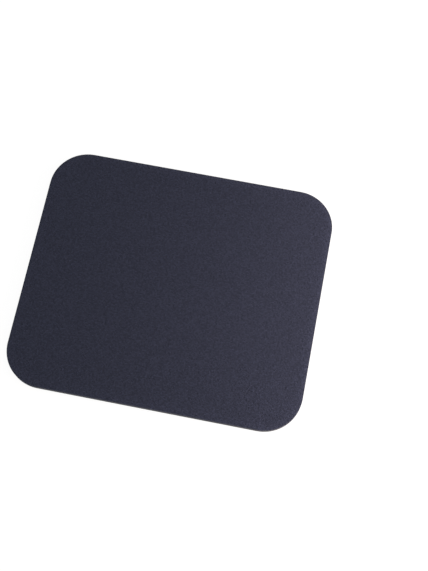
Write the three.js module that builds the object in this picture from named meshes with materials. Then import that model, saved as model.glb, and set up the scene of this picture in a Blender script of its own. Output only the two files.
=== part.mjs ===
// Mouse pad: knitted cloth bonded to a slab of foam rubber, all cut to shape by one die.
// Millimetres, +Z up. The origin is the middle of the underside, on the desk.

import * as THREE from 'three';

// Outline of the cutting die
const PAD_WIDTH = 235; // along X
const PAD_DEPTH = 200; // along Y
const CORNER_RADIUS = 30.5;
const CORNER_FACETS = 16; // flat steps round one corner

// Layers of the laminate
const FOAM_THICKNESS = 5.2;
const FILM_THICKNESS = 0.1;
const CLOTH_THICKNESS = 0.7;

// Rolled rim, where the die presses the cloth down before it cuts
const RIM_WIDTH = 4; // from the cut edge to the flat of the working face
const RIM_CLOTH_THICKNESS = 0.3; // what is left of the cloth at the cut edge
const RIM_STEPS = 4; // flat steps across the rim

// Heights of the faces where the layers meet, from the desk up
const FOAM_TOP = FOAM_THICKNESS;
const FILM_TOP = FOAM_TOP + FILM_THICKNESS;
const CLOTH_TOP = FILM_TOP + CLOTH_THICKNESS;
const RIM_TOP = FILM_TOP + RIM_CLOTH_THICKNESS;

// Layout of one ring of outline points, counter-clockwise from above, one quarter turn per corner
const QUARTER_TURN = Math.PI / 2;
const CORNERS = [
  { x: 1, y: 1 },
  { x: -1, y: 1 },
  { x: -1, y: -1 },
  { x: 1, y: -1 },
];
const POINTS_PER_CORNER = CORNER_FACETS + 1;
const RING_SIZE = CORNERS.length * POINTS_PER_CORNER;

const knittedCloth = new THREE.MeshStandardMaterial({ color: 0x343642, roughness: 0.95, metalness: 0 });
const adhesiveFilm = new THREE.MeshStandardMaterial({ color: 0x2b2c31, roughness: 0.4, metalness: 0 });
const foamRubber = new THREE.MeshStandardMaterial({ color: 0x4f4f51, roughness: 0.9, metalness: 0 });

/** Middles of the four corner arcs, which every ring of the pad shares. */
function arcCentres() {
  const x = PAD_WIDTH / 2 - CORNER_RADIUS;
  const y = PAD_DEPTH / 2 - CORNER_RADIUS;
  return CORNERS.map((corner) => new THREE.Vector2(corner.x * x, corner.y * y));
}

/** The die's outline, moved in from the cut edge by an even inset. */
function dieOutline(inset) {
  const radius = CORNER_RADIUS - inset;
  return arcCentres().flatMap((centre, corner) => {
    const start = corner * QUARTER_TURN;
    const arc = new THREE.EllipseCurve(centre.x, centre.y, radius, radius, start, start + QUARTER_TURN);
    return arc.getPoints(CORNER_FACETS);
  });
}

/** Triangles of a flat face that faces up: a fan in each corner, strips between the fans, and the middle. */
function flatFace(firstRingPoint, firstCentre) {
  const triangles = [];
  CORNERS.forEach((_, corner) => {
    const next = (corner + 1) % CORNERS.length;
    const centre = firstCentre + corner;
    const nextCentre = firstCentre + next;
    const arcStart = firstRingPoint + corner * POINTS_PER_CORNER;
    const arcEnd = arcStart + CORNER_FACETS;
    const nextArcStart = firstRingPoint + next * POINTS_PER_CORNER;
    for (let point = arcStart; point < arcEnd; point += 1) {
      triangles.push([centre, point, point + 1]);
    }
    triangles.push([centre, arcEnd, nextArcStart], [centre, nextArcStart, nextCentre]);
  });
  const [first, second, third, fourth] = CORNERS.map((_, corner) => firstCentre + corner);
  triangles.push([first, second, third], [first, third, fourth]);
  return triangles;
}

/** Triangles of the wall between one ring and the ring above it, facing outwards. */
function wallBand(firstRingPoint) {
  const triangles = [];
  for (let step = 0; step < RING_SIZE; step += 1) {
    const here = firstRingPoint + step;
    const beside = firstRingPoint + ((step + 1) % RING_SIZE);
    triangles.push([here, beside, beside + RING_SIZE], [here, beside + RING_SIZE, here + RING_SIZE]);
  }
  return triangles;
}

/**
 * One layer of the laminate, as a closed body through rings of the die's outline.
 * The rings are listed from the underside, up the cut edge, to the rim of the upper face.
 */
function layer(name, material, rings) {
  const lowest = rings[0];
  const highest = rings[rings.length - 1];
  const points = rings.flatMap(({ inset, z }) => dieOutline(inset).map(({ x, y }) => [x, y, z]));
  const undersideCentres = points.length;
  const upperCentres = undersideCentres + CORNERS.length;
  points.push(...arcCentres().map(({ x, y }) => [x, y, lowest.z]));
  points.push(...arcCentres().map(({ x, y }) => [x, y, highest.z]));

  const underside = flatFace(0, undersideCentres).map((triangle) => triangle.reverse());
  const wall = rings.slice(1).flatMap((_, band) => wallBand(band * RING_SIZE));
  const upperFace = flatFace((rings.length - 1) * RING_SIZE, upperCentres);

  const geometry = new THREE.BufferGeometry();
  geometry.setAttribute('position', new THREE.Float32BufferAttribute(points.flat(), 3));
  geometry.setIndex([...underside, ...wall, ...upperFace].flat());
  geometry.computeVertexNormals();
  const mesh = new THREE.Mesh(geometry, material);
  mesh.name = name;
  return mesh;
}

/** Rings of a layer with a square-cut edge. */
function squareEdge(bottom, top) {
  return [
    { inset: 0, z: bottom },
    { inset: 0, z: top },
  ];
}

/** Rings of the cloth: a short cut edge, then a rim that eases up to the flat of the working face. */
function rolledEdge() {
  const rings = [{ inset: 0, z: FILM_TOP }];
  for (let step = 0; step <= RIM_STEPS; step += 1) {
    const way = step / RIM_STEPS;
    const rise = 1 - (1 - way) ** 2;
    rings.push({ inset: way * RIM_WIDTH, z: RIM_TOP + rise * (CLOTH_TOP - RIM_TOP) });
  }
  return rings;
}

const pad = new THREE.Group();
pad.add(layer('foam_base', foamRubber, squareEdge(0, FOAM_TOP)));
pad.add(layer('bond_film', adhesiveFilm, squareEdge(FOAM_TOP, FILM_TOP)));
pad.add(layer('cloth_face', knittedCloth, rolledEdge()));

export default pad;
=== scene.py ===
"""Mouse pad of knitted cloth on foam rubber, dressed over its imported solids.

The cloth, an adhesive film and the foam are laminated as sheets and cut out together by one die. Lengths
are in metres, +Z is up, and the origin is the middle of the underside.
"""

from __future__ import annotations

import logging
import math
from collections.abc import Callable, Mapping
from dataclasses import dataclass
from enum import Enum
from typing import Any

import bmesh
import bpy
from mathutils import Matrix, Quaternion, Vector


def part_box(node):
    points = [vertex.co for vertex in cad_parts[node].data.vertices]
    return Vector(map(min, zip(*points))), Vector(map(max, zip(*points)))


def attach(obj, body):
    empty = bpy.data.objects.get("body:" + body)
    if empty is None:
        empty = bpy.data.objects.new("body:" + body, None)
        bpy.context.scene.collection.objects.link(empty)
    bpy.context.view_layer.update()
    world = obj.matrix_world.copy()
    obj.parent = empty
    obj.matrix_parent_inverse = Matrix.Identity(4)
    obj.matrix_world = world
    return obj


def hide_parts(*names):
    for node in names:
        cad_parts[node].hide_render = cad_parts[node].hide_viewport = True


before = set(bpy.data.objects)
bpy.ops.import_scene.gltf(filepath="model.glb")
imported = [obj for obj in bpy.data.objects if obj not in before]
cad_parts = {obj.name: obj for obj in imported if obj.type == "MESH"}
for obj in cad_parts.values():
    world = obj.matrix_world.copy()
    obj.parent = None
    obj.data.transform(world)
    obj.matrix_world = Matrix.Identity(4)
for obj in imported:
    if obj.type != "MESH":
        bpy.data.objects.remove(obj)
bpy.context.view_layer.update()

BODY = "root"
MM = 0.001
TOUCHING = 0.001 * MM

log = logging.getLogger("mouse_pad")

Colour = tuple[float, float, float, float]
Point = tuple[float, float, float]
Socket = bpy.types.NodeSocket

# The sRGB curve: straight near black, then a power
STRAIGHT_END = 0.04045
STRAIGHT_SLOPE = 12.92
CURVE_OFFSET = 0.055
CURVE_POWER = 2.4

# Inputs and output of a Mix node that mixes colours
MIX_SHARE = 0
FIRST_COLOUR = 6
SECOND_COLOUR = 7
MIXED = 2

# A knitted stitch, in stitches: from its side to its middle, and from a leg's side to the leg's ridge
HALF_STITCH = 0.5
LEG_RIDGE = HALF_STITCH / 2


class Layer(Enum):
    """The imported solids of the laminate, from the desk up."""

    FOAM = "foam_base"
    FILM = "bond_film"
    CLOTH = "cloth_face"


class Slot(Enum):
    """Names of the record's material slots for the foam and the cloth."""

    FOAM = "foam_rubber"
    CLOTH = "knitted_cloth"


class Facing(Enum):
    """Which way the face of a layer that shows looks, along Z."""

    UP = 1
    DOWN = -1


def solid_points(layer: Layer) -> list[Vector]:
    """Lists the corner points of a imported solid.

    Args:
        layer: the solid.

    Returns:
        Each corner's place.
    """
    return [vertex.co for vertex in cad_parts[layer.value].data.vertices]


def linear(hex_colour: str) -> Colour:
    """Turns an sRGB hex colour to linear light.

    Args:
        hex_colour: a hash and six hex digits.

    Returns:
        Linear red, green and blue, with an alpha of 1.
    """
    light = []
    for place in (1, 3, 5):
        share = int(hex_colour[place : place + 2], 16) / 255
        if share <= STRAIGHT_END:
            light.append(share / STRAIGHT_SLOPE)
        else:
            light.append(((share + CURVE_OFFSET) / (1 + CURVE_OFFSET)) ** CURVE_POWER)
    red, green, blue = light
    return red, green, blue, 1.0


def add_node(
    tree: bpy.types.NodeTree,
    kind: str,
    settings: Mapping[str, Any] | None = None,
    inputs: Mapping[str | int, Any] | None = None,
) -> bpy.types.Node:
    """Adds a node with its settings and links.

    Args:
        tree: the node tree that gets the node.
        kind: the node's type, without its "ShaderNode" prefix.
        settings: values of the node's own properties.
        inputs: a value, or an output socket to link from, for each input by name or number.

    Returns:
        The new node.
    """
    node = tree.nodes.new("ShaderNode" + kind)
    for name, value in (settings or {}).items():
        setattr(node, name, value)
    for name, value in (inputs or {}).items():
        if isinstance(value, Socket):
            tree.links.new(value, node.inputs[name])
        else:
            node.inputs[name].default_value = value
    return node


def empty_material(name: str) -> bpy.types.Material:
    """Makes a material with no nodes in its tree.

    Args:
        name: what the material is called.

    Returns:
        The new material.
    """
    material = bpy.data.materials.new(name)
    material.use_nodes = True
    material.node_tree.nodes.clear()
    return material


def select_faces(piece: bpy.types.Object, wanted: Callable[[bmesh.types.BMFace], bool]) -> None:
    """Selects, in edit mode, the faces that pass a test and nothing else.

    Args:
        piece: the object in edit mode.
        wanted: the test, from a face's place or normal.
    """
    bpy.ops.mesh.select_mode(type="FACE")
    bpy.ops.mesh.select_all(action="DESELECT")
    mesh = bmesh.from_edit_mesh(piece.data)
    for face in mesh.faces:
        face.select_set(wanted(face))
    bmesh.update_edit_mesh(piece.data)


@dataclass(frozen=True)
class Die:
    """The cutting die: a rectangle with round corners, about the origin."""

    width: float
    depth: float
    corner_radius: float
    corner_steps: int = 24

    @classmethod
    def that_cut(cls, layer: Layer) -> Die:
        """Measures the die on the solid that it cut.

        Args:
            layer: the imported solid.

        Returns:
            The die with that solid's outline.
        """
        low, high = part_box(layer.value)
        straight = max(point.x for point in solid_points(layer) if point.y > high.y - TOUCHING)
        return cls(width=high.x - low.x, depth=high.y - low.y, corner_radius=high.x - straight)

    @property
    def area(self) -> float:
        """Flat area inside the cutting edge."""
        return self.width * self.depth - (4 - math.pi) * self.corner_radius**2

    @property
    def corner_middle(self) -> Vector:
        """Middle of the corner's arc where X and Y are positive."""
        return Vector((self.width / 2 - self.corner_radius, self.depth / 2 - self.corner_radius))

    def from_core(self, point: Vector) -> Vector:
        """Finds how far, and which way, a point lies outside the rectangle of the corners' middles.

        Args:
            point: a flat point inside the cutting edge.

        Returns:
            A flat vector that points straight out through the cutting edge.
        """
        core = [max(-most, min(most, along)) for along, most in zip(point, self.corner_middle)]
        return point - Vector(core)

    def inset(self, point: Vector) -> float:
        """How far inside the cutting edge a flat point lies, up to the corner's radius."""
        return self.corner_radius - self.from_core(point).length

    def draw_edge(self, tree: bpy.types.NodeTree, place: Socket, start: float, full: float) -> Socket:
        """Draws how near the cutting edge a point of a material lies.

        Args:
            tree: the material's node tree.
            place: the Object coordinates.
            start: how far inside the edge the share begins.
            full: how far inside the edge the share is 1.

        Returns:
            A share from 0 to 1.
        """
        middle = (*self.corner_middle, self.corner_radius)
        quarter = add_node(tree, "VectorMath", {"operation": "ABSOLUTE"}, {0: place})
        past = add_node(
            tree, "VectorMath", {"operation": "SUBTRACT"}, {0: quarter.outputs[0], 1: middle}
        )
        outside = add_node(tree, "VectorMath", {"operation": "MAXIMUM"}, {0: past.outputs[0]})
        reach = add_node(tree, "VectorMath", {"operation": "LENGTH"}, {0: outside.outputs[0]})
        share = add_node(
            tree,
            "MapRange",
            {"interpolation_type": "SMOOTHSTEP"},
            {
                "Value": reach.outputs["Value"],
                "From Min": self.corner_radius - start,
                "From Max": self.corner_radius - full,
            },
        )
        return share.outputs[0]

    def add_plate(self, name: str, height: float) -> bpy.types.Object:
        """Adds one flat face with the die's outline, facing up, and leaves it in edit mode.

        Args:
            name: what the new object is called.
            height: where the face lies.

        Returns:
            The new object.
        """
        bpy.ops.object.select_all(action="DESELECT")
        bpy.ops.mesh.primitive_plane_add(size=1.0, location=(0, 0, height))
        plate = bpy.context.active_object
        plate.name = name
        plate.data.name = name
        plate.scale = (self.width, self.depth, 1.0)
        bpy.ops.object.transform_apply(location=True, rotation=True, scale=True)
        bpy.ops.object.mode_set(mode="EDIT")
        bpy.ops.mesh.select_all(action="SELECT")
        bpy.ops.mesh.bevel(offset=self.corner_radius, segments=self.corner_steps, affect="VERTICES")
        return plate


@dataclass(frozen=True)
class Rim:
    """The rolled rim of the cloth: its width, and what is left of the cloth at the cut edge."""

    width: float
    cloth: float

    @classmethod
    def pressed_into(cls, layer: Layer) -> Rim:
        """Measures the rim on the solid that has it.

        Args:
            layer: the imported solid.

        Returns:
            That solid's rim.
        """
        low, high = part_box(layer.value)
        points = solid_points(layer)
        flat_end = max(point.x for point in points if point.z > high.z - TOUCHING)
        cut_top = max(point.z for point in points if point.x > high.x - TOUCHING)
        return cls(width=high.x - flat_end, cloth=cut_top - low.z)


@dataclass(frozen=True)
class BakeMap:
    """Layout of a layer's own map, for baking its finish.

    The face that shows fills the map, with the cut edge folded out round it. The glued face, which
    nobody sees, lies small in the strip that is left.
    """

    die: Die
    fold: float
    name: str = "OFBake"
    border: float = 1.0 * MM
    steep: float = 0.5

    @property
    def frame_size(self) -> Vector:
        """Width and depth of the face that shows, with the cut edge and a border round it."""
        around = 2 * (self.fold + self.border)
        return Vector((self.die.width + around, self.die.depth + around))

    def lay_out(self, piece: bpy.types.Object, facing: Facing) -> None:
        """Puts this map in the place of the piece's other maps.

        Args:
            piece: the finished layer, in object mode.
            facing: which way the face that shows looks.
        """
        mesh = piece.data
        while mesh.uv_layers:
            mesh.uv_layers.remove(mesh.uv_layers[0])
        spots = mesh.uv_layers.new(name=self.name).uv
        heights = [vertex.co.z * facing.value for vertex in mesh.vertices]
        shown, glued = max(heights), min(heights)
        for face in mesh.polygons:
            towards = face.normal.z * facing.value
            for corner in face.loop_indices:
                point = mesh.vertices[mesh.loops[corner].vertex_index].co
                seen = Vector((point.x * facing.value, point.y))
                if towards > self.steep:
                    spot = self._shown(seen)
                elif towards > -self.steep:
                    share = (shown - point.z * facing.value) / (shown - glued)
                    spot = self._shown(seen + self.die.from_core(seen).normalized() * self.fold * share)
                else:
                    spot = self._glued(seen)
                spots[corner].vector = spot / self.frame_size.x

    def _shown(self, seen: Vector) -> Vector:
        """Place on the map, in metres, of a point of the face that shows."""
        return seen + self.frame_size / 2

    def _glued(self, seen: Vector) -> Vector:
        """Place on the map, in metres, of a point of the glued face, turned to be seen from outside."""
        strip = self.frame_size.x - self.frame_size.y
        smaller = (strip - 2 * self.border) / self.die.depth
        middle = Vector((self.frame_size.x / 2, self.frame_size.y + strip / 2))
        return Vector((-seen.x, seen.y)) * smaller + middle


@dataclass(frozen=True)
class KnittedPolyester:
    """Polyester knit, dyed in the piece and heat-pressed: matte, with a faint sheen and an uneven grain.

    The real stitch is about 0.6 mm wide, and it and its fibres stand a tenth or two of a millimetre
    high, which is under a pixel. The stitches are drawn coarser, and both are drawn higher, so that the
    grain shows. Along the rim the cloth is made paler: a painted highlight for light and sheen on the
    rolled rim.
    """

    die: Die
    name: str = "heat_pressed_polyester_knit"
    yarn: str = "#454b63"
    # Painted shade: the darker colour in the gaps between stitches and on the lower, less full stitches
    gap_shade: str = "#282b38"
    sheen_tint: str = "#9aa0b8"
    wale: float = 0.6 * MM
    course: float = 0.5 * MM
    drawn_coarser: float = 2.0
    lean: float = 1.2
    stitch_depth: float = 0.5 * MM
    least_full: float = 0.3
    stitch_variation: float = 0.12
    wander: float = 1.6 * MM
    wander_size: float = 6 * MM
    nap: float = 1.5 * MM
    nap_detail: float = 1.0
    nap_depth: float = 1.0 * MM
    nap_variation: float = 0.25
    uneven_dye: float = 45 * MM
    dye_variation: float = 0.03
    # Painted highlight: how far in from the cut edge the cloth is made paler, and by how much
    rim_highlight_width: float = 8.0 * MM
    rim_highlight_gain: float = 0.13
    roughness: float = 0.92
    specular: float = 0.12
    sheen: float = 0.1
    sheen_roughness: float = 0.5

    def make(self) -> bpy.types.Material:
        """Builds the cloth's material, with stitches drawn from Object coordinates.

        Returns:
            The new material.
        """
        material = empty_material(self.name)
        tree = material.node_tree
        place = add_node(tree, "TexCoord").outputs["Object"]
        stitch, chance = self._stitches(tree, place)
        noise = {"Vector": place, "Scale": 1 / self.nap, "Detail": self.nap_detail}
        fibres = add_node(tree, "TexNoise", inputs=noise).outputs[0]
        lie = add_node(tree, "Bump", inputs={"Height": fibres, "Distance": self.nap_depth})
        bump = add_node(
            tree,
            "Bump",
            inputs={"Height": stitch, "Distance": self.stitch_depth, "Normal": lie.outputs[0]},
        )
        shader = add_node(
            tree,
            "BsdfPrincipled",
            inputs={
                "Base Color": self._dye(tree, place, stitch, chance, fibres),
                "Roughness": self.roughness,
                "Specular IOR Level": self.specular,
                "Sheen Weight": self.sheen,
                "Sheen Roughness": self.sheen_roughness,
                "Sheen Tint": linear(self.sheen_tint),
                "Normal": bump.outputs[0],
            },
        )
        add_node(tree, "OutputMaterial", inputs={"Surface": shader.outputs[0]})
        return material

    def _stitches(self, tree: bpy.types.NodeTree, place: Socket) -> tuple[Socket, Socket]:
        """Draws columns of V-shaped stitches, some fuller than others, that wander as in a stretched knit.

        Args:
            tree: the material's node tree.
            place: the Object coordinates.

        Returns:
            The stitches' height from 0 to 1, and a random number from 0 to 1 for each stitch.
        """
        drift = add_node(tree, "TexNoise", inputs={"Vector": place, "Scale": 1 / self.wander_size})
        strayed = add_node(
            tree,
            "VectorMath",
            {"operation": "MULTIPLY_ADD"},
            {0: drift.outputs["Color"], 1: (self.wander, self.wander, 0), 2: place},
        )
        per_metre = (1 / (self.wale * self.drawn_coarser), 1 / (self.course * self.drawn_coarser), 0)
        counted = add_node(
            tree, "VectorMath", {"operation": "MULTIPLY"}, {0: strayed.outputs[0], 1: per_metre}
        )
        axes = add_node(tree, "SeparateXYZ", inputs={0: counted.outputs[0]})
        wales, courses = axes.outputs["X"], axes.outputs["Y"]
        fold = {"operation": "PINGPONG"}
        inward = add_node(tree, "Math", fold, {0: wales, 1: HALF_STITCH}).outputs[0]
        climb = add_node(
            tree, "Math", {"operation": "MULTIPLY_ADD"}, {0: inward, 1: self.lean, 2: courses}
        ).outputs[0]
        leg = add_node(tree, "Math", fold, {0: inward, 1: LEG_RIDGE}).outputs[0]
        loop = add_node(tree, "Math", fold, {0: climb, 1: HALF_STITCH}).outputs[0]
        rounded = {"interpolation_type": "SMOOTHSTEP"}
        round_leg = add_node(tree, "MapRange", rounded, {"Value": leg, "From Max": LEG_RIDGE})
        round_loop = add_node(tree, "MapRange", rounded, {"Value": loop, "From Max": HALF_STITCH})
        yarn = add_node(
            tree, "Math", {"operation": "MULTIPLY"}, {0: round_leg.outputs[0], 1: round_loop.outputs[0]}
        )
        cell = add_node(tree, "CombineXYZ", inputs={"X": wales, "Y": climb})
        stitch = add_node(tree, "VectorMath", {"operation": "FLOOR"}, {0: cell.outputs[0]})
        lot = add_node(tree, "TexWhiteNoise", {"noise_dimensions": "2D"}, {"Vector": stitch.outputs[0]})
        chance = lot.outputs["Value"]
        fullness = add_node(tree, "MapRange", inputs={"Value": chance, "To Min": self.least_full})
        height = add_node(
            tree, "Math", {"operation": "MULTIPLY"}, {0: yarn.outputs[0], 1: fullness.outputs[0]}
        )
        return height.outputs[0], chance

    def _dye(
        self, tree: bpy.types.NodeTree, place: Socket, stitch: Socket, chance: Socket, fibres: Socket
    ) -> Socket:
        """Colours the stitches: painted shade in the gaps, a painted highlight along the rim, with yarn,
        nap and dye that vary.

        Args:
            tree: the material's node tree.
            place: the Object coordinates.
            stitch: the stitches' height.
            chance: a random number for each stitch.
            fibres: the nap's height.

        Returns:
            The cloth's colour.
        """
        dye = add_node(tree, "TexNoise", inputs={"Vector": place, "Scale": 1 / self.uneven_dye})
        # Painted highlight: a share that rises towards the cut edge and makes the cloth paler there
        rim_highlight = self.die.draw_edge(tree, place, start=self.rim_highlight_width, full=0.0)
        brightness: Socket | float = 1.0
        for source, least, most in (
            (chance, 1 - self.stitch_variation, 1 + self.stitch_variation),
            (fibres, 1 - self.nap_variation, 1 + self.nap_variation),
            (dye.outputs[0], 1 - self.dye_variation, 1 + self.dye_variation),
            (rim_highlight, 1.0, 1 + self.rim_highlight_gain),
        ):
            share = add_node(tree, "MapRange", inputs={"Value": source, "To Min": least, "To Max": most})
            product = add_node(
                tree, "Math", {"operation": "MULTIPLY"}, {0: brightness, 1: share.outputs[0]}
            )
            brightness = product.outputs[0]
        # Painted shade: where a stitch is low, in its gaps or where it is less full, it takes the darker
        # gap colour
        yarn = add_node(
            tree,
            "Mix",
            {"data_type": "RGBA"},
            {MIX_SHARE: stitch, FIRST_COLOUR: linear(self.gap_shade), SECOND_COLOUR: linear(self.yarn)},
        )
        dyed = add_node(tree, "HueSaturation", inputs={"Value": brightness, "Color": yarn.outputs[MIXED]})
        return dyed.outputs[0]


@dataclass(frozen=True)
class FoamRubber:
    """Dark grey closed-cell foam rubber: dead matte, and paler on the cut edge, from torn cells and
    painted floor light.

    It tears unevenly, so the cut edge is mottled. The lands of the underside are greyer than the rest,
    partly from rubbing on the desk and partly as painted light against the painted shade of the grooves,
    and dusty in patches.
    """

    die: Die
    name: str = "dark_grey_foam_rubber"
    skin: str = "#38383b"
    # Cut edge: partly torn cells, partly painted light from the floor
    torn_and_floor_lit: str = "#595c62"
    # Painted shade: the colour at the middle of each cell pit, where the bump is deepest
    cell: str = "#202022"
    # Lands: worn, and painted paler so that the grooves and sides show painted shade
    worn_and_unshaded: str = "#505053"
    paler_edge_start: float = 1.0 * MM
    paler_edge_full: float = 0.5 * MM
    tear_size: float = 2.5 * MM
    tear_detail: float = 3.0
    least_torn: float = 0.4
    most_torn: float = 1.3
    wear_and_shade_height: float = 0.15 * MM
    cell_size: float = 0.7 * MM
    cell_wall: float = 0.6
    cell_depth: float = 0.12 * MM
    dust_patch: float = 30 * MM
    dust_detail: float = 4.0
    least_dust: float = 0.3
    roughness: float = 0.9
    specular: float = 0.2

    def make(self) -> bpy.types.Material:
        """Builds the foam's material, with cells drawn from Object coordinates, their pits darkened with
        painted shade.

        Returns:
            The new material.
        """
        material = empty_material(self.name)
        tree = material.node_tree
        place = add_node(tree, "TexCoord").outputs["Object"]
        cells = add_node(tree, "TexVoronoi", inputs={"Vector": place, "Scale": 1 / self.cell_size})
        wall = add_node(
            tree, "MapRange", inputs={"Value": cells.outputs["Distance"], "From Max": self.cell_wall}
        )
        rubber = add_node(
            tree,
            "Mix",
            {"data_type": "RGBA"},
            {
                MIX_SHARE: self._tear_and_floor_light(tree, place),
                FIRST_COLOUR: linear(self.skin),
                SECOND_COLOUR: linear(self.torn_and_floor_lit),
            },
        )
        # Painted shade: the cell pits, which the bump sinks, take the dark cell colour at their middles
        whole = add_node(
            tree,
            "Mix",
            {"data_type": "RGBA"},
            {
                MIX_SHARE: wall.outputs[0],
                FIRST_COLOUR: linear(self.cell),
                SECOND_COLOUR: rubber.outputs[MIXED],
            },
        )
        # The lands take the worn colour: partly wear, partly painted light against the painted shade of
        # the grooves
        colour = add_node(
            tree,
            "Mix",
            {"data_type": "RGBA"},
            {
                MIX_SHARE: self._wear_and_groove_shade(tree, place),
                FIRST_COLOUR: whole.outputs[MIXED],
                SECOND_COLOUR: linear(self.worn_and_unshaded),
            },
        )
        bump = add_node(tree, "Bump", inputs={"Height": wall.outputs[0], "Distance": self.cell_depth})
        shader = add_node(
            tree,
            "BsdfPrincipled",
            inputs={
                "Base Color": colour.outputs[MIXED],
                "Roughness": self.roughness,
                "Specular IOR Level": self.specular,
                "Normal": bump.outputs[0],
            },
        )
        add_node(tree, "OutputMaterial", inputs={"Surface": shader.outputs[0]})
        return material

    def _tear_and_floor_light(self, tree: bpy.types.NodeTree, place: Socket) -> Socket:
        """Finds where the cut edge is paler, from torn cells and painted floor light, more in some spots
        than in others.

        Args:
            tree: the material's node tree.
            place: the Object coordinates.

        Returns:
            The share of torn foam and painted floor light, which is 0 away from the cut edge.
        """
        cut = self.die.draw_edge(tree, place, start=self.paler_edge_start, full=self.paler_edge_full)
        noise = {"Vector": place, "Scale": 1 / self.tear_size, "Detail": self.tear_detail}
        spots = add_node(tree, "TexNoise", inputs=noise)
        uneven = add_node(
            tree,
            "MapRange",
            inputs={"Value": spots.outputs[0], "To Min": self.least_torn, "To Max": self.most_torn},
        )
        torn_and_floor_lit = add_node(tree, "Math", {"operation": "MULTIPLY"}, {0: cut, 1: uneven.outputs[0]})
        return torn_and_floor_lit.outputs[0]

    def _wear_and_groove_shade(self, tree: bpy.types.NodeTree, place: Socket) -> Socket:
        """Finds the lands, paler from wear and as painted light against the painted shade of the grooves,
        more in some patches than in others.

        Args:
            tree: the material's node tree.
            place: the Object coordinates.

        Returns:
            The share of wear and painted light, which is 0 above the lands.
        """
        height = add_node(tree, "SeparateXYZ", inputs={0: place}).outputs["Z"]
        near = add_node(
            tree,
            "MapRange",
            inputs={"Value": height, "From Min": self.wear_and_shade_height, "From Max": 0.0},
        )
        noise = {"Vector": place, "Scale": 1 / self.dust_patch, "Detail": self.dust_detail}
        patch = add_node(tree, "TexNoise", inputs=noise)
        dust = add_node(tree, "MapRange", inputs={"Value": patch.outputs[0], "To Min": self.least_dust})
        wear_and_shade = add_node(
            tree, "Math", {"operation": "MULTIPLY"}, {0: near.outputs[0], 1: dust.outputs[0]}
        )
        return wear_and_shade.outputs[0]


@dataclass(frozen=True)
class HotMeltFilm:
    """Hot-melt film between cloth and foam: a smooth line, dulled where fibres are stuck in it."""

    name: str = "hot_melt_film"
    clear: str = "#2b2c31"
    fibres: str = "#3c3d47"
    fibre_spacing: float = 1.5 * MM
    fibre_detail: float = 4.0
    gloss: float = 0.3
    dull: float = 0.6

    def make(self) -> bpy.types.Material:
        """Builds the film's material, with fibres drawn from Object coordinates.

        Returns:
            The new material.
        """
        material = empty_material(self.name)
        tree = material.node_tree
        place = add_node(tree, "TexCoord").outputs["Object"]
        noise = {"Vector": place, "Scale": 1 / self.fibre_spacing, "Detail": self.fibre_detail}
        stuck = add_node(tree, "TexNoise", inputs=noise).outputs[0]
        colour = add_node(
            tree,
            "Mix",
            {"data_type": "RGBA"},
            {MIX_SHARE: stuck, FIRST_COLOUR: linear(self.clear), SECOND_COLOUR: linear(self.fibres)},
        )
        roughness = add_node(
            tree, "MapRange", inputs={"Value": stuck, "To Min": self.gloss, "To Max": self.dull}
        )
        shader = add_node(
            tree,
            "BsdfPrincipled",
            inputs={"Base Color": colour.outputs[MIXED], "Roughness": roughness.outputs[0]},
        )
        add_node(tree, "OutputMaterial", inputs={"Surface": shader.outputs[0]})
        return material


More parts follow.
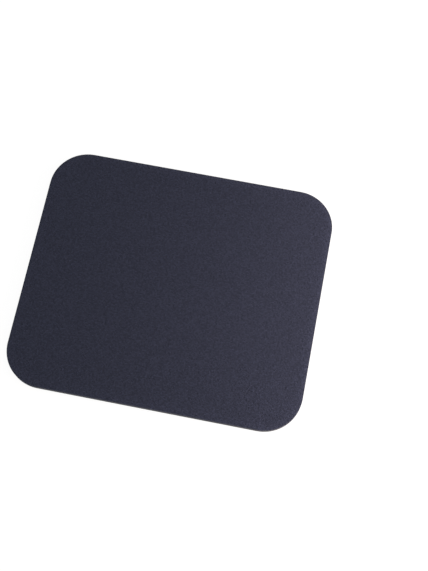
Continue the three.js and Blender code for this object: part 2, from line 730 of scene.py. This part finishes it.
@dataclass
class FoamBase:
    """Slab of foam rubber with an embossed underside and a cut edge that springs back hollow."""

    die: Die
    finish: FoamRubber
    bottom: float
    top: float
    emboss_pitch: float = 3.0 * MM
    groove_width: float = 0.8 * MM
    groove_depth: float = 0.3 * MM
    hollow: float = 0.35 * MM
    hollow_steps: int = 8
    overrun: float = 1.0 * MM
    crumb: float = 0.02 * MM
    crease_angle: float = math.radians(25)

    def build(self) -> bpy.types.Object:
        """Cuts the embossed sheet with the die.

        Returns:
            The finished slab, dressed and riding on the pad.
        """
        slab = self._embossed_sheet()
        self._cut_out(slab)
        bpy.ops.object.shade_smooth_by_angle(angle=self.crease_angle)
        BakeMap(self.die, fold=self.top - self.bottom).lay_out(slab, Facing.DOWN)
        slab.data.materials.clear()
        slab.data.materials.append(self.finish.make())
        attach(slab, BODY)
        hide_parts(Layer.FOAM.value)
        return slab

    def _embossed_sheet(self) -> bpy.types.Object:
        """Models a square of foam, larger than the pad, with diamond lands pressed into its underside.

        Returns:
            The sheet, in object mode.
        """
        needed = (self.die.width + self.die.depth) / math.sqrt(2) + 2 * self.emboss_pitch
        lands = math.ceil(needed / self.emboss_pitch)
        bpy.ops.object.select_all(action="DESELECT")
        bpy.ops.mesh.primitive_grid_add(
            x_subdivisions=lands,
            y_subdivisions=lands,
            size=lands * self.emboss_pitch,
            location=(0, 0, self.bottom + self.groove_depth),
            rotation=(math.pi, 0, math.pi / 4),
        )
        sheet = bpy.context.active_object
        sheet.name = "foam_slab"
        sheet.data.name = "foam_slab"
        bpy.ops.object.transform_apply(location=True, rotation=True, scale=True)
        bpy.ops.object.mode_set(mode="EDIT")
        bpy.ops.mesh.select_all(action="SELECT")
        bpy.ops.mesh.inset(thickness=self.groove_width / 2, depth=self.groove_depth, use_individual=True)
        bpy.ops.mesh.select_all(action="SELECT")
        bpy.ops.mesh.region_to_loop()
        rise = self.top - self.bottom + self.overrun
        bpy.ops.mesh.extrude_edges_move(TRANSFORM_OT_translate={"value": (0, 0, rise)})
        bpy.ops.mesh.edge_face_add()
        bpy.ops.mesh.select_all(action="SELECT")
        bpy.ops.mesh.normals_make_consistent(inside=False)
        bpy.ops.object.mode_set(mode="OBJECT")
        return sheet

    def _cut_out(self, sheet: bpy.types.Object) -> None:
        """Keeps what lies inside the die, and clears the crumbs that the cut leaves.

        Args:
            sheet: the embossed sheet, in object mode.
        """
        blade = self._blade()
        bpy.ops.object.select_all(action="DESELECT")
        sheet.select_set(True)
        bpy.context.view_layer.objects.active = sheet
        bpy.ops.object.modifier_add(type="BOOLEAN")
        cut = sheet.modifiers[-1]
        cut.operation = "INTERSECT"
        cut.solver = "EXACT"
        cut.object = blade
        bpy.ops.object.modifier_apply(modifier=cut.name)
        bpy.data.objects.remove(blade)
        bpy.ops.object.mode_set(mode="EDIT")
        bpy.ops.mesh.select_all(action="SELECT")
        bpy.ops.mesh.remove_doubles(threshold=self.crumb)
        bpy.ops.mesh.dissolve_degenerate(threshold=self.crumb)
        bpy.ops.object.mode_set(mode="OBJECT")

    def _blade(self) -> bpy.types.Object:
        """Models the space inside the die, drawn in at half height as the cut edge is.

        Returns:
            The blade's solid, in object mode.
        """
        blade = self.die.add_plate("blade", self.bottom - self.overrun)
        bpy.ops.mesh.select_all(action="SELECT")
        bpy.ops.mesh.extrude_region_move(TRANSFORM_OT_translate={"value": (0, 0, self.overrun)})
        rise = (self.top - self.bottom) / self.hollow_steps
        sides = (self.die.width, self.die.depth)
        drawn_in = 0.0
        for step in range(1, self.hollow_steps + 1):
            off_middle = 2 * step / self.hollow_steps - 1
            wanted = self.hollow * (1 - off_middle**2)
            narrower = [(side - 2 * wanted) / (side - 2 * drawn_in) for side in sides]
            bpy.ops.mesh.extrude_region_move(TRANSFORM_OT_translate={"value": (0, 0, rise)})
            bpy.ops.transform.resize(value=(*narrower, 1.0))
            drawn_in = wanted
        bpy.ops.mesh.select_all(action="SELECT")
        bpy.ops.mesh.normals_make_consistent(inside=False)
        bpy.ops.object.mode_set(mode="OBJECT")
        return blade


@dataclass
class ClothFace:
    """Sheet of knitted cloth, pressed down in a rolled rim where the die went through."""

    die: Die
    rim: Rim
    finish: KnittedPolyester
    bottom: float
    top: float
    rim_steps: int = 8
    cut_spacing: float = 6.0 * MM
    swell: float = 0.2 * MM
    swell_size: float = 60.0 * MM
    swell_ease: float = 15.0 * MM
    cut_fold: float = 2.4 * MM
    crease_angle: float = math.radians(40)

    def build(self) -> bpy.types.Object:
        """Models the sheet from its outline up.

        Returns:
            The finished cloth, dressed and riding on the pad.
        """
        cloth = self.die.add_plate("cloth_sheet", self.bottom)
        bpy.ops.mesh.select_all(action="SELECT")
        bpy.ops.mesh.extrude_region_move(TRANSFORM_OT_translate={"value": (0, 0, self.rim.cloth)})
        self._roll_rim()
        self._divide_flat(cloth)
        bpy.ops.mesh.select_all(action="SELECT")
        bpy.ops.mesh.normals_make_consistent(inside=False)
        bpy.ops.object.mode_set(mode="OBJECT")
        self._swell_flat(cloth)
        bpy.ops.object.shade_smooth_by_angle(angle=self.crease_angle)
        BakeMap(self.die, fold=self.cut_fold).lay_out(cloth, Facing.UP)
        cloth.data.materials.clear()
        cloth.data.materials.append(self.finish.make())
        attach(cloth, BODY)
        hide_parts(Layer.CLOTH.value)
        return cloth

    def _roll_rim(self) -> None:
        """Insets the upper face in steps that rise from the cut edge to the flat, ever more gently."""
        drop = self.top - self.bottom - self.rim.cloth
        for step in range(self.rim_steps):
            below, above = [1 - (1 - way / self.rim_steps) ** 2 for way in (step, step + 1)]
            bpy.ops.mesh.inset(thickness=self.rim.width / self.rim_steps, depth=drop * (above - below))

    def _divide_flat(self, cloth: bpy.types.Object) -> None:
        """Cuts the flat of the upper face into a grid, so that it can swell.

        Args:
            cloth: the sheet in edit mode.
        """

        def on_flat(face: bmesh.types.BMFace) -> bool:
            """Tells whether all of a face lies at the top."""
            return min(vertex.co.z for vertex in face.verts) > self.top - TOUCHING

        for reach, along in ((self.die.width, Vector((1, 0, 0))), (self.die.depth, Vector((0, 1, 0)))):
            cuts = int(reach / 2 / self.cut_spacing)
            for cut in range(-cuts, cuts + 1):
                select_faces(cloth, on_flat)
                bpy.ops.mesh.bisect(plane_co=along * cut * self.cut_spacing, plane_no=along)

    def _swell_flat(self, cloth: bpy.types.Object) -> None:
        """Lets the flat wander up and down, as a sheet glued to foam does, and less towards the rim.

        Args:
            cloth: the sheet in object mode.
        """
        flat = cloth.vertex_groups.new(name="flat")
        for vertex in cloth.data.vertices:
            share = (self.die.inset(vertex.co.xy) - self.rim.width) / self.swell_ease
            if share > 0 and vertex.co.z > self.bottom + TOUCHING:
                flat.add([vertex.index], min(share, 1.0), "REPLACE")
        waves = bpy.data.textures.new("foam_swell", "CLOUDS")
        waves.noise_scale = self.swell_size
        bpy.ops.object.modifier_add(type="DISPLACE")
        lift = cloth.modifiers[-1]
        lift.texture = waves
        lift.texture_coords = "LOCAL"
        lift.direction = "Z"
        lift.strength = self.swell
        lift.vertex_group = flat.name
        bpy.ops.object.modifier_apply(modifier=lift.name)
        cloth.vertex_groups.clear()


@dataclass
class BondFilm:
    """Adhesive film between cloth and foam, which shows only in the cut edge."""

    finish: HotMeltFilm

    def build(self) -> bpy.types.Object:
        """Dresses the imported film.

        Returns:
            The film's own packed object.
        """
        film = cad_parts[Layer.FILM.value]
        film.material_slots[0].material = self.finish.make()
        return film


@dataclass(frozen=True)
class Studio:
    """White floor and surround, soft light from all round, and one long soft lamp on the right."""

    die: Die
    floor_spread: float = 33.0
    floor_drop: float = 0.05 * MM
    floor_gap: float = 1.0 * MM
    floor_colour: str = "#e8e8e8"
    floor_shade: str = "#737373"
    floor_glow: float = 0.9
    surround: float = 0.59
    lamp_place: Point = (280 * MM, 0.0, 123 * MM)
    lamp_size: tuple[float, float] = (600 * MM, 100 * MM)
    lamp_power: float = 1.93
    lamp_tint: str = "#ffebe4"

    def build(self) -> None:
        """Sets up the floor, the surround and the lamp."""
        self._floor()
        self._surround()
        self._lamp()

    def _seen(self, tree: bpy.types.NodeTree) -> Socket:
        """Tells the rays that show a surface from those that only carry light.

        Args:
            tree: the node tree of the floor or the world.

        Returns:
            1 for a camera, glossy or transmission ray, and 0 for others.
        """
        path = add_node(tree, "LightPath")
        mirrored = add_node(
            tree,
            "Math",
            {"operation": "MAXIMUM"},
            {0: path.outputs["Is Glossy Ray"], 1: path.outputs["Is Transmission Ray"]},
        )
        seen = add_node(
            tree,
            "Math",
            {"operation": "MAXIMUM"},
            {0: path.outputs["Is Camera Ray"], 1: mirrored.outputs[0]},
        )
        return seen.outputs[0]

    def _floor(self) -> None:
        """Lays a pale floor round the pad, with a part of its own under the pad that doesn't glow."""
        floor = self.die.add_plate("floor", -self.floor_drop)
        bpy.ops.mesh.select_all(action="SELECT")
        bpy.ops.mesh.region_to_loop()
        bpy.ops.mesh.extrude_edges_move()
        bpy.ops.transform.resize(value=(self.floor_spread, self.floor_spread, 1.0))
        select_faces(floor, lambda face: face.normal.z < 0)
        bpy.ops.mesh.flip_normals()
        bpy.ops.object.mode_set(mode="OBJECT")
        floor.data.materials.append(self._floor_finish("white_studio_floor", self.floor_glow))
        floor.data.materials.append(self._floor_finish("floor_under_pad", 0.0))
        for face in floor.data.polygons:
            face.material_index = int(face.center.length < self.die.corner_radius)

    def _floor_finish(self, name: str, glow: float) -> bpy.types.Material:
        """Makes a floor that shows white, keeps the pad's shadow and is clear from below.

        Args:
            name: what the material is called.
            glow: how much of the white doesn't depend on the light.

        Returns:
            The new material.
        """
        material = empty_material(name)
        tree = material.node_tree
        plain = add_node(tree, "BsdfDiffuse", inputs={"Color": linear(self.floor_colour)})
        shaded = add_node(tree, "BsdfDiffuse", inputs={"Color": linear(self.floor_shade)})
        glowing = add_node(tree, "Emission", inputs={"Strength": glow})
        white = add_node(tree, "AddShader", inputs={0: shaded.outputs[0], 1: glowing.outputs[0]})
        mixed = add_node(
            tree, "MixShader", inputs={0: self._seen(tree), 1: plain.outputs[0], 2: white.outputs[0]}
        )
        below = add_node(tree, "NewGeometry").outputs["Backfacing"]
        reach = add_node(tree, "LightPath").outputs["Ray Length"]
        under = add_node(tree, "Math", {"operation": "LESS_THAN"}, {0: reach, 1: self.floor_gap})
        open_here = add_node(tree, "Math", {"operation": "MAXIMUM"}, {0: below, 1: under.outputs[0]})
        clear = add_node(tree, "BsdfTransparent")
        one_sided = add_node(
            tree, "MixShader", inputs={0: open_here.outputs[0], 1: mixed.outputs[0], 2: clear.outputs[0]}
        )
        add_node(tree, "OutputMaterial", inputs={"Surface": one_sided.outputs[0]})
        return material

    def _surround(self) -> None:
        """Makes the world white to look at, and an even soft light for the pad."""
        world = bpy.data.worlds.new("white_surround")
        world.use_nodes = True
        tree = world.node_tree
        tree.nodes.clear()
        strength = add_node(
            tree, "MapRange", inputs={"Value": self._seen(tree), "To Min": self.surround, "To Max": 1.0}
        )
        light = add_node(
            tree, "Background", inputs={"Color": (1, 1, 1, 1), "Strength": strength.outputs[0]}
        )
        add_node(tree, "OutputWorld", inputs={"Surface": light.outputs[0]})
        bpy.context.scene.world = world

    def _lamp(self) -> None:
        """Hangs the long soft lamp beside the pad, turned to its middle line."""
        bpy.ops.object.light_add(type="AREA", location=self.lamp_place)
        lamp = bpy.context.active_object
        lamp.name = "soft_lamp"
        lamp.data.shape = "RECTANGLE"
        lamp.data.size, lamp.data.size_y = self.lamp_size
        lamp.data.energy = self.lamp_power
        lamp.data.color = linear(self.lamp_tint)[:3]
        lamp.rotation_mode = "QUATERNION"
        inward = Vector((-lamp.location.x, 0, -lamp.location.z))
        lamp.rotation_quaternion = inward.to_track_quat("-Z", "Y")


@dataclass(frozen=True)
class PhotoCamera:
    """The photograph's camera, which looks past the pad's middle, so the pad lies left in the image."""

    aim: Point = (32.13 * MM, 8.95 * MM, 0.0)
    distance: float = 817.8 * MM
    azimuth: float = math.radians(12.45)
    elevation: float = math.radians(72.5)
    roll: float = math.radians(1.33)
    focal_pixels: float = 1016.9
    image_height: int = 571
    film: float = 36.0

    def build(self) -> None:
        """Places the camera and makes it the scene's own."""
        level = math.cos(self.elevation)
        back = Vector(
            (math.sin(self.azimuth) * level, -math.cos(self.azimuth) * level, math.sin(self.elevation))
        )
        bpy.ops.object.camera_add(location=Vector(self.aim) + back * self.distance)
        camera = bpy.context.active_object
        camera.name = "photo_camera"
        camera.data.sensor_width = self.film
        camera.data.lens = self.focal_pixels * self.film / self.image_height
        camera.rotation_mode = "QUATERNION"
        turned = Quaternion((0, 0, 1), -self.roll)
        camera.rotation_quaternion = (-back).to_track_quat("-Z", "Y") @ turned
        bpy.context.scene.camera = camera


def main() -> None:
    """Builds the camera, the studio and the layers of the pad, in order."""
    logging.basicConfig(level=logging.INFO, format="%(name)s: %(message)s")
    bpy.context.scene.view_settings.view_transform = "Standard"
    die = Die.that_cut(Layer.FOAM)
    rim = Rim.pressed_into(Layer.CLOTH)
    PhotoCamera().build()
    Studio(die).build()
    foam_low, foam_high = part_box(Layer.FOAM.value)
    cloth_low, cloth_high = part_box(Layer.CLOTH.value)
    layers = (
        FoamBase(die, FoamRubber(die), bottom=foam_low.z, top=foam_high.z),
        BondFilm(HotMeltFilm()),
        ClothFace(die, rim, KnittedPolyester(die), bottom=cloth_low.z, top=cloth_high.z),
    )
    for layer in layers:
        piece = layer.build()
        log.info("%s: %d faces", piece.name, len(piece.data.polygons))


if __name__ == "__main__":
    main()
